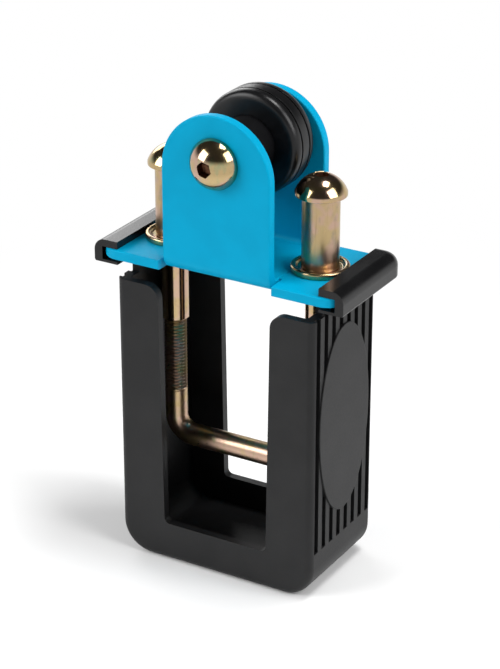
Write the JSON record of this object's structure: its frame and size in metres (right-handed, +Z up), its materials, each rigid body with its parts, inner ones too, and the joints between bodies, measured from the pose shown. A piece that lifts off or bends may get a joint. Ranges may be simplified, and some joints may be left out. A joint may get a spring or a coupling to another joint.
{
  "type": "clamp-on roller bracket",
  "caption": "Grooved roller between the ears of a folded sheet bracket, clamped round a beam by a U-bolt inside a ribbed U-shaped jacket and drawn up by domed sleeve nuts.",
  "frame": {"origin": "centre of the flat bottom of the jacket's closed end, on which the bracket stands", "axes": "+Z up from the closed end to the roller, Y along the roller's axle with the axle sleeve's head at -Y, X across the two arms of the U"},
  "size_m": [0.096, 0.0542, 0.17],
  "materials": {
    "blue_paint": "satin",
    "roller_black": "gloss",
    "nylon": "matt",
    "bronze": "satin",
    "yellow_zinc": "satin",
    "jacket_black": "matt",
    "cap_black": "gloss"
  },
  "bodies": {
    "frame": {"bracket": "blue_paint", "u_jacket": "jacket_black", "end_cap_left": "cap_black", "end_cap_right": "cap_black", "washer_left": "yellow_zinc", "washer_right": "yellow_zinc", "spacer_left": "yellow_zinc", "spacer_right": "yellow_zinc", "axle_sleeve": "yellow_zinc", "axle_screw": "yellow_zinc", "thrust_washer_front": "nylon", "thrust_washer_rear": "nylon"},
    "roller": {"roller_tyre": "roller_black", "roller_core": "nylon", "bush_front": "bronze", "bush_rear": "bronze"},
    "clamp": {"u_bolt": "yellow_zinc"},
    "nut_left": {"sleeve_nut_left": "yellow_zinc"},
    "nut_right": {"sleeve_nut_right": "yellow_zinc"}
  },
  "joints": [
    {"name": "roller_spin", "type": "hinge", "parent": "frame", "child": "roller", "pos_m": [0, 0, 0.1517], "axis": [0, 1, 0], "continuous": true},
    {"name": "nut_left_turn", "type": "hinge", "parent": "frame", "child": "nut_left", "pos_m": [-0.0285, 0, 0.1405], "axis": [0, 0, -1], "range_deg": [-2880, 7200]},
    {"name": "nut_right_turn", "type": "hinge", "parent": "frame", "child": "nut_right", "pos_m": [0.0285, 0, 0.1405], "axis": [0, 0, -1], "range_deg": [-2880, 7200]},
    {"name": "clamp_lift", "type": "slide", "parent": "frame", "child": "clamp", "axis": [0, 0, 1], "range_m": [-0.0101, 0.0251]}
  ],
  "couplings": [
    {"joint": "nut_right_turn", "follows": "nut_left_turn", "ratio": 1},
    {"joint": "clamp_lift", "follows": "nut_left_turn", "m_per_rad": 0.00019894}
  ]
}
